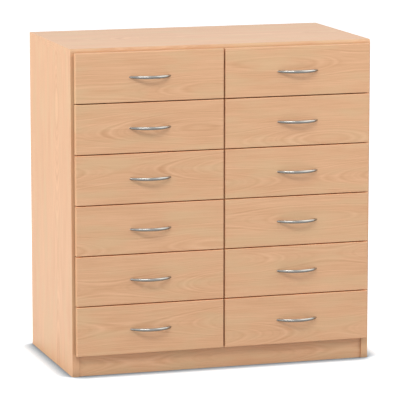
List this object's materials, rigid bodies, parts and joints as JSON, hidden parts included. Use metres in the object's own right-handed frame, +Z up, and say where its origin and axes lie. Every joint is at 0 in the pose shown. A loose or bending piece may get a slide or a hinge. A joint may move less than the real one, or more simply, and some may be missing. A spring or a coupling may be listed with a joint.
{
  "type": "drawer cabinet",
  "caption": "Wood-look cabinet with two columns of small sliding drawers, bow handles, a plinth and a flat top.",
  "frame": {"origin": "on the floor, under the middle of the overall width and of the overall depth with the handles", "axes": "+X to the right as seen from the front, +Y to the back, +Z up"},
  "size_m": [0.8, 0.4654, 0.84],
  "materials": {
    "beech_board": "satin beech-look board",
    "box_board": "plain coated board",
    "back_hardboard": "thin coated board",
    "dowel_wood": "turned beech",
    "rail_steel": "powder-coated sheet",
    "roller_plastic": "moulded",
    "screw_steel": "zinc plated",
    "handle_metal": "satin nickel"
  },
  "bodies": {
    "cabinet": {"left_side_panel": "beech_board", "right_side_panel": "beech_board", "centre_partition": "beech_board", "top_panel": "beech_board", "bottom_panel": "beech_board", "back_panel": "back_hardboard", "plinth_board": "beech_board", "rear_plinth_rail": "beech_board", "carcass_dowels": "dowel_wood", "cabinet_rails": "rail_steel", "cabinet_rollers": "roller_plastic", "rail_screws": "screw_steel"},
    "drawer_left_1": {"drawer_left_1_front": "beech_board", "drawer_left_1_box": "box_board", "drawer_left_1_handle": "handle_metal", "drawer_left_1_runners": "rail_steel"},
    "drawer_left_2": {"drawer_left_2_front": "beech_board", "drawer_left_2_box": "box_board", "drawer_left_2_handle": "handle_metal", "drawer_left_2_runners": "rail_steel"},
    "drawer_left_3": {"drawer_left_3_front": "beech_board", "drawer_left_3_box": "box_board", "drawer_left_3_handle": "handle_metal", "drawer_left_3_runners": "rail_steel"},
    "drawer_left_4": {"drawer_left_4_front": "beech_board", "drawer_left_4_box": "box_board", "drawer_left_4_handle": "handle_metal", "drawer_left_4_runners": "rail_steel"},
    "drawer_left_5": {"drawer_left_5_front": "beech_board", "drawer_left_5_box": "box_board", "drawer_left_5_handle": "handle_metal", "drawer_left_5_runners": "rail_steel"},
    "drawer_left_6": {"drawer_left_6_front": "beech_board", "drawer_left_6_box": "box_board", "drawer_left_6_handle": "handle_metal", "drawer_left_6_runners": "rail_steel"},
    "drawer_right_1": {"drawer_right_1_front": "beech_board", "drawer_right_1_box": "box_board", "drawer_right_1_handle": "handle_metal", "drawer_right_1_runners": "rail_steel"},
    "drawer_right_2": {"drawer_right_2_front": "beech_board", "drawer_right_2_box": "box_board", "drawer_right_2_handle": "handle_metal", "drawer_right_2_runners": "rail_steel"},
    "drawer_right_3": {"drawer_right_3_front": "beech_board", "drawer_right_3_box": "box_board", "drawer_right_3_handle": "handle_metal", "drawer_right_3_runners": "rail_steel"},
    "drawer_right_4": {"drawer_right_4_front": "beech_board", "drawer_right_4_box": "box_board", "drawer_right_4_handle": "handle_metal", "drawer_right_4_runners": "rail_steel"},
    "drawer_right_5": {"drawer_right_5_front": "beech_board", "drawer_right_5_box": "box_board", "drawer_right_5_handle": "handle_metal", "drawer_right_5_runners": "rail_steel"},
    "drawer_right_6": {"drawer_right_6_front": "beech_board", "drawer_right_6_box": "box_board", "drawer_right_6_handle": "handle_metal", "drawer_right_6_runners": "rail_steel"}
  },
  "joints": [
    {"name": "drawer_left_1_slide", "type": "slide", "parent": "cabinet", "child": "drawer_left_1", "axis": [0, -1, 0], "range_m": [0, 0.3]},
    {"name": "drawer_left_2_slide", "type": "slide", "parent": "cabinet", "child": "drawer_left_2", "axis": [0, -1, 0], "range_m": [0, 0.3]},
    {"name": "drawer_left_3_slide", "type": "slide", "parent": "cabinet", "child": "drawer_left_3", "axis": [0, -1, 0], "range_m": [0, 0.3]},
    {"name": "drawer_left_4_slide", "type": "slide", "parent": "cabinet", "child": "drawer_left_4", "axis": [0, -1, 0], "range_m": [0, 0.3]},
    {"name": "drawer_left_5_slide", "type": "slide", "parent": "cabinet", "child": "drawer_left_5", "axis": [0, -1, 0], "range_m": [0, 0.3]},
    {"name": "drawer_left_6_slide", "type": "slide", "parent": "cabinet", "child": "drawer_left_6", "axis": [0, -1, 0], "range_m": [0, 0.3]},
    {"name": "drawer_right_1_slide", "type": "slide", "parent": "cabinet", "child": "drawer_right_1", "axis": [0, -1, 0], "range_m": [0, 0.3]},
    {"name": "drawer_right_2_slide", "type": "slide", "parent": "cabinet", "child": "drawer_right_2", "axis": [0, -1, 0], "range_m": [0, 0.3]},
    {"name": "drawer_right_3_slide", "type": "slide", "parent": "cabinet", "child": "drawer_right_3", "axis": [0, -1, 0], "range_m": [0, 0.3]},
    {"name": "drawer_right_4_slide", "type": "slide", "parent": "cabinet", "child": "drawer_right_4", "axis": [0, -1, 0], "range_m": [0, 0.3]},
    {"name": "drawer_right_5_slide", "type": "slide", "parent": "cabinet", "child": "drawer_right_5", "axis": [0, -1, 0], "range_m": [0, 0.3]},
    {"name": "drawer_right_6_slide", "type": "slide", "parent": "cabinet", "child": "drawer_right_6", "axis": [0, -1, 0], "range_m": [0, 0.3]}
  ]
}
